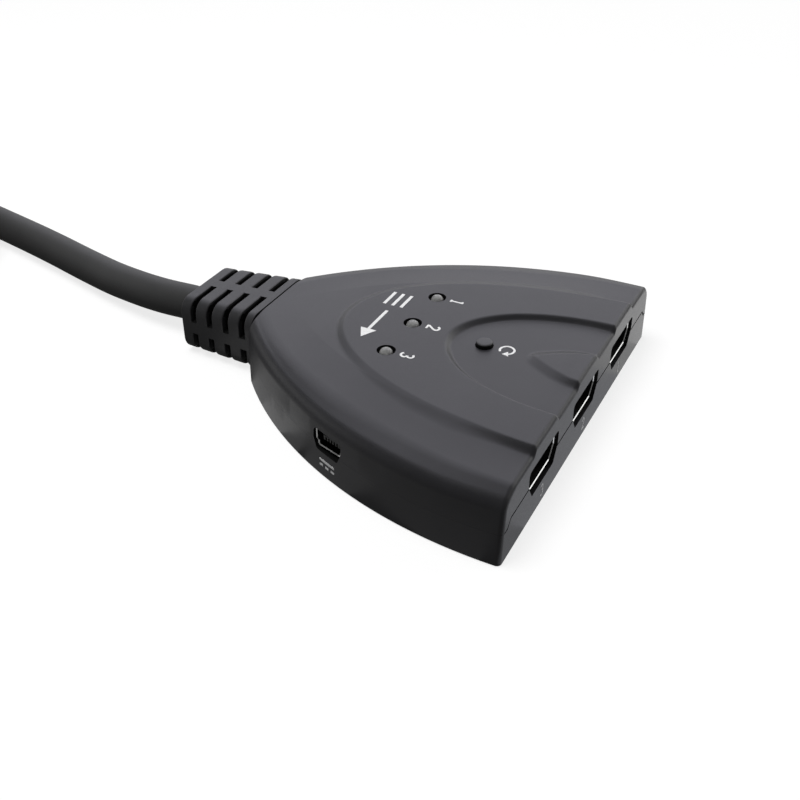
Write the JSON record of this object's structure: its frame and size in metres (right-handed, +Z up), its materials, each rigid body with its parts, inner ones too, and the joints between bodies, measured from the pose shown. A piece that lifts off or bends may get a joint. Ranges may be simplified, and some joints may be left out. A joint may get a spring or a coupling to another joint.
{
  "type": "video switch box",
  "caption": "Fan-shaped plastic video switch box with front sockets, push button and indicators on a stepped top, side power socket, and a captive lead ending in a plug.",
  "frame": {"origin": "centre of the footprint of the case and its boot, on the surface that it stands on", "axes": "+Z up, the input sockets face -Y, the lead leaves along +Y, the power socket is on the -X side"},
  "size_m": [0.1257, 0.2677, 0.019],
  "materials": {
    "case_plastic": "fine moulded texture, charcoal",
    "button_plastic": "smooth satin, charcoal",
    "boot_rubber": "matt moulded elastomer",
    "cable_jacket": "matt extruded jacket",
    "plug_plastic": "matt overmould",
    "socket_metal": "nickel-plated sheet",
    "contact_gold": "gold flash",
    "socket_plastic": "black glass-filled plastic",
    "led_lens": "diffused translucent resin",
    "board_laminate": "green solder mask",
    "chip_black": "moulded epoxy",
    "tinned_metal": "bright tin",
    "ceramic_chip": "fired ceramic",
    "screw_steel": "zinc plated",
    "wire_insulation": "extruded insulation",
    "tie_fabric": "hook-and-loop strip"
  },
  "bodies": {
    "case": {"top_cover": "case_plastic", "bottom_cover": "case_plastic", "case_screws": "screw_steel", "main_board": "board_laminate", "switch_chip": "chip_black", "chip_leads": "tinned_metal", "regulator": "chip_black", "crystal": "tinned_metal", "board_passives": "ceramic_chip", "indicator_leds": "led_lens", "led_leads": "tinned_metal", "tact_base": "socket_plastic", "tact_frame": "tinned_metal", "tact_dome": "tinned_metal", "input_shell_1": "socket_metal", "input_shell_2": "socket_metal", "input_shell_3": "socket_metal", "input_tongue_1": "socket_plastic", "input_tongue_2": "socket_plastic", "input_tongue_3": "socket_plastic", "input_contacts_1": "contact_gold", "input_contacts_2": "contact_gold", "input_contacts_3": "contact_gold", "power_shell": "socket_metal", "power_insulator": "socket_plastic", "power_contacts": "contact_gold", "strain_relief_boot": "boot_rubber", "cable_core": "cable_jacket", "inner_wires": "wire_insulation", "cable_run": "cable_jacket", "cable_coil": "cable_jacket", "cable_tail": "cable_jacket", "coil_tie": "tie_fabric", "plug_boot": "boot_rubber", "plug_housing": "plug_plastic", "plug_shell": "socket_metal", "plug_insert": "socket_plastic", "plug_contacts": "contact_gold"},
    "button": {"select_button": "button_plastic", "tact_plunger": "socket_plastic"}
  },
  "joints": [
    {"name": "select_press", "type": "slide", "parent": "case", "child": "button", "axis": [0, 0, -1], "range_m": [0, 0.0004], "stiffness_N_per_m": 400, "deforming": ["tact_dome"]}
  ]
}
